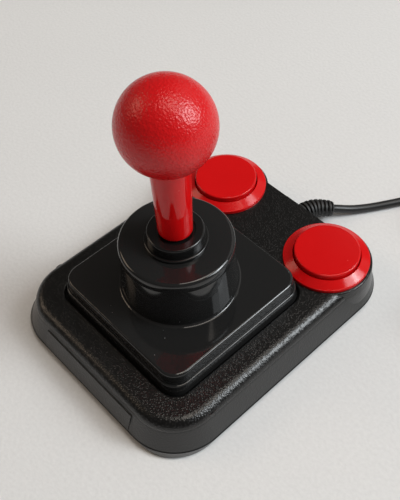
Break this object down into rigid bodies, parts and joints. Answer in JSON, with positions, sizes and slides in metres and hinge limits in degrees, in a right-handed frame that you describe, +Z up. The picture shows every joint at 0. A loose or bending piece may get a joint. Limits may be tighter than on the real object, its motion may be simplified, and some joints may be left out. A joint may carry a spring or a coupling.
{
  "type": "joystick controller",
  "caption": "Ball-top joystick: a tilting stick in a collared square housing on a low flared case, with round push buttons behind it and a lead with a D plug.",
  "frame": {"origin": "centre of the case's footprint on the table, without the lead", "axes": "+X to the player's right, +Y away from the player towards the lead, +Z up"},
  "size_m": [0.154, 0.1997, 0.1121],
  "materials": {
    "base_black": "satin black moulding",
    "black_rubber": "smooth black rubber",
    "brass": "spring brass",
    "cord_black": "smooth black sheath",
    "gloss_black": "polished black moulding",
    "inner_plastic": "plain black moulding",
    "red_gloss": "glossy red moulding",
    "red_satin": "satin red moulding with a slight orange-peel surface",
    "shell_black": "fine spark-textured satin black moulding",
    "steel": "plated steel",
    "switch_plastic": "dark red-brown switch case",
    "white_plastic": "natural nylon"
  },
  "bodies": {
    "case": {"base_plate": "base_black", "bezel_nut_left": "inner_plastic", "bezel_nut_right": "inner_plastic", "button_bezel_left": "red_gloss", "button_bezel_right": "red_gloss", "button_spring_left": "steel", "button_spring_right": "steel", "carrier_screws": "steel", "case_screws": "steel", "collar_cap": "gloss_black", "contact_block_left": "inner_plastic", "contact_block_right": "inner_plastic", "cord": "cord_black", "cord_coil": "cord_black", "cord_tail": "cord_black", "cord_tie": "inner_plastic", "fixed_leaf_left": "brass", "fixed_leaf_right": "brass", "microswitch_back": "switch_plastic", "microswitch_front": "switch_plastic", "microswitch_left": "switch_plastic", "microswitch_right": "switch_plastic", "moving_leaf_left": "brass", "moving_leaf_right": "brass", "plug_hood": "inner_plastic", "plug_insert": "inner_plastic", "plug_shell": "steel", "rubber_feet": "black_rubber", "stick_housing": "gloss_black", "strain_relief": "black_rubber", "switch_carrier": "inner_plastic", "top_shell": "shell_black"},
    "pivot": {"centring_grommet": "black_rubber"},
    "stick": {"ball_knob": "red_satin", "shaft_sleeve": "red_gloss", "steel_shaft": "steel", "shaft_washer": "steel", "upper_clip": "steel", "actuator_bush": "white_plastic", "lower_clip": "steel"},
    "button_left": {"fire_button_left": "red_gloss", "button_clip_left": "steel"},
    "button_right": {"fire_button_right": "red_gloss", "button_clip_right": "steel"}
  },
  "joints": [
    {"name": "stick_fore_aft", "type": "hinge", "parent": "case", "child": "pivot", "pos_m": [0, -0.011, 0.0485], "axis": [1, 0, 0], "range_deg": [-8, 8], "stiffness_Nm_per_rad": 1.2, "deforming": ["centring_grommet"]},
    {"name": "stick_left_right", "type": "hinge", "parent": "pivot", "child": "stick", "pos_m": [0, -0.011, 0.0485], "axis": [0, 1, 0], "range_deg": [-8, 8], "stiffness_Nm_per_rad": 1.2, "deforming": ["centring_grommet"]},
    {"name": "press_left", "type": "slide", "parent": "case", "child": "button_left", "axis": [0, 0, -1], "range_m": [0, 0.0018], "stiffness_N_per_m": 400, "springref_m": -0.003, "deforming": ["button_spring_left", "moving_leaf_left"]},
    {"name": "press_right", "type": "slide", "parent": "case", "child": "button_right", "axis": [0, 0, -1], "range_m": [0, 0.0018], "stiffness_N_per_m": 400, "springref_m": -0.003, "deforming": ["button_spring_right", "moving_leaf_right"]}
  ]
}
